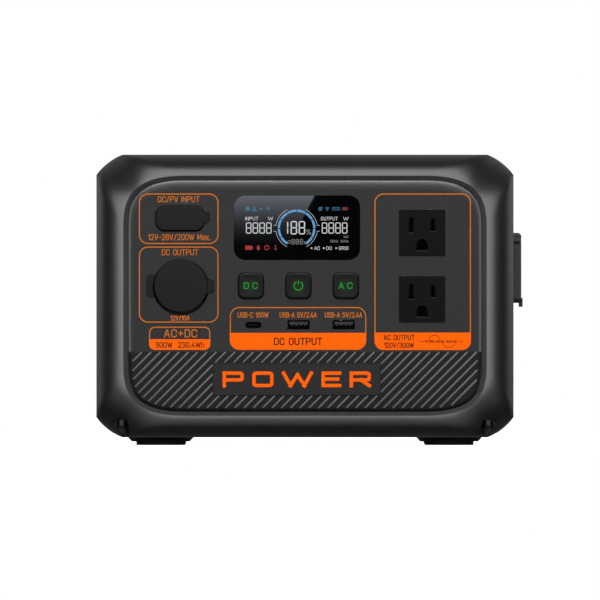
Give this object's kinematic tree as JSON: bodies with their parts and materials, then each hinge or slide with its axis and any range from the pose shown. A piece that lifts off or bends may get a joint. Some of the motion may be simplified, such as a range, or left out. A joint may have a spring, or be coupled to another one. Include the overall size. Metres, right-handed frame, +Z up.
{
  "type": "portable power station",
  "caption": "Boxy portable power station with a recessed front panel, display, push buttons, mains and USB outlets, covered DC sockets and a folding top handle.",
  "frame": {"origin": "on the ground under the middle of the whole object's box, feet and side cover included", "axes": "+X to the object's right seen from the front, the long way; +Y from the front face to the back; +Z up"},
  "size_m": [0.25, 0.1571, 0.17],
  "materials": {
    "shell_plastic": "fine moulded texture, dark charcoal",
    "panel_plastic": "smooth satin, charcoal",
    "trim_plastic": "diagonal ribs, near black",
    "window": "polished black window",
    "display": "backlit segment display",
    "button_plastic": "satin black with a lit green symbol",
    "soft_rubber": "soft matt rubber",
    "black_plastic": "black moulded plastic",
    "steel": "bright plated steel",
    "brass": "bright brass",
    "nickel": "nickel strip",
    "circuit_board": "green solder resist",
    "cell_wrap": "blue shrink wrap over a metal can",
    "holder_plastic": "black flame-proof plastic",
    "heatsink": "extruded aluminium",
    "capacitor": "printed sleeve",
    "ferrite": "sintered ferrite",
    "winding": "enamelled wire",
    "wire": "silicone insulation"
  },
  "bodies": {
    "case": {"ac_inlet": "black_plastic", "ac_inlet_pins": "brass", "ac_outlet_lower": "black_plastic", "ac_outlet_upper": "black_plastic", "battery_cells": "cell_wrap", "battery_leads": "wire", "battery_tray": "holder_plastic", "bms_board": "circuit_board", "breaker_body": "black_plastic", "bus_bars": "nickel", "capacitors": "capacitor", "car_centre_contact": "brass", "car_socket": "black_plastic", "car_socket_nut": "black_plastic", "case_screws": "steel", "cell_holder_front": "holder_plastic", "cell_holder_rear": "holder_plastic", "control_board": "circuit_board", "cover_straps": "soft_rubber", "dc_input_pins": "brass", "dc_input_socket": "black_plastic", "deck_spacers": "brass", "display_module": "display", "display_window": "window", "fan_frame": "black_plastic", "foot_bases": "black_plastic", "foot_pads": "soft_rubber", "front_bezel": "shell_plastic", "front_panel": "panel_plastic", "ground_screw": "steel", "handle_pins": "steel", "heatsinks": "heatsink", "inlet_panel": "shell_plastic", "inverter_board": "circuit_board", "left_grille": "shell_plastic", "main_shell": "shell_plastic", "name_plate": "panel_plastic", "outlet_contacts": "brass", "rear_cover": "shell_plastic", "ribbed_trim": "trim_plastic", "right_grille": "shell_plastic", "side_cover_ears": "black_plastic", "tact_switches": "black_plastic", "terminal_block": "black_plastic", "transformer_core": "ferrite", "transformer_winding": "winding", "usb_a_ports": "steel", "usb_board": "circuit_board", "usb_c_port": "steel", "usb_tongues": "black_plastic"},
    "handle": {"handle_bail": "black_plastic", "handle_grip": "soft_rubber"},
    "dc_button_cap": {"dc_button": "button_plastic"},
    "power_button_cap": {"power_button": "button_plastic"},
    "ac_button_cap": {"ac_button": "button_plastic"},
    "dc_input_flap": {"dc_input_cover": "soft_rubber"},
    "car_socket_flap": {"car_socket_cover": "soft_rubber"},
    "side_flap": {"side_cover": "soft_rubber"},
    "breaker_knob": {"breaker_button": "button_plastic"},
    "fan": {"fan_rotor": "black_plastic"}
  },
  "joints": [
    {"name": "handle_fold", "type": "hinge", "parent": "case", "child": "handle", "pos_m": [-0.003, 0, 0.1635], "axis": [1, 0, 0], "range_deg": [0, 90]},
    {"name": "dc_button_press", "type": "slide", "parent": "case", "child": "dc_button_cap", "axis": [0, 1, 0], "range_m": [0, 0.001], "stiffness_N_per_m": 1500, "springref_m": -0.0005},
    {"name": "power_button_press", "type": "slide", "parent": "case", "child": "power_button_cap", "axis": [0, 1, 0], "range_m": [0, 0.001], "stiffness_N_per_m": 1500, "springref_m": -0.0005},
    {"name": "ac_button_press", "type": "slide", "parent": "case", "child": "ac_button_cap", "axis": [0, 1, 0], "range_m": [0, 0.001], "stiffness_N_per_m": 1500, "springref_m": -0.0005},
    {"name": "dc_input_cover_open", "type": "hinge", "parent": "case", "child": "dc_input_flap", "pos_m": [-0.0907, -0.0779, 0.1329], "axis": [0, 0, -1], "range_deg": [0, 110]},
    {"name": "car_cover_open", "type": "hinge", "parent": "case", "child": "car_socket_flap", "pos_m": [-0.0923, -0.0781, 0.093], "axis": [0, 0, -1], "range_deg": [0, 110]},
    {"name": "side_cover_open", "type": "hinge", "parent": "case", "child": "side_flap", "pos_m": [0.1216, 0, 0.122], "axis": [0, -1, 0], "range_deg": [0, 120]},
    {"name": "breaker_pop", "type": "slide", "parent": "case", "child": "breaker_knob", "axis": [1, 0, 0], "range_m": [0, 0.002]},
    {"name": "fan_spin", "type": "hinge", "parent": "case", "child": "fan", "pos_m": [-0.1125, 0, 0.088], "axis": [1, 0, 0], "continuous": true}
  ]
}
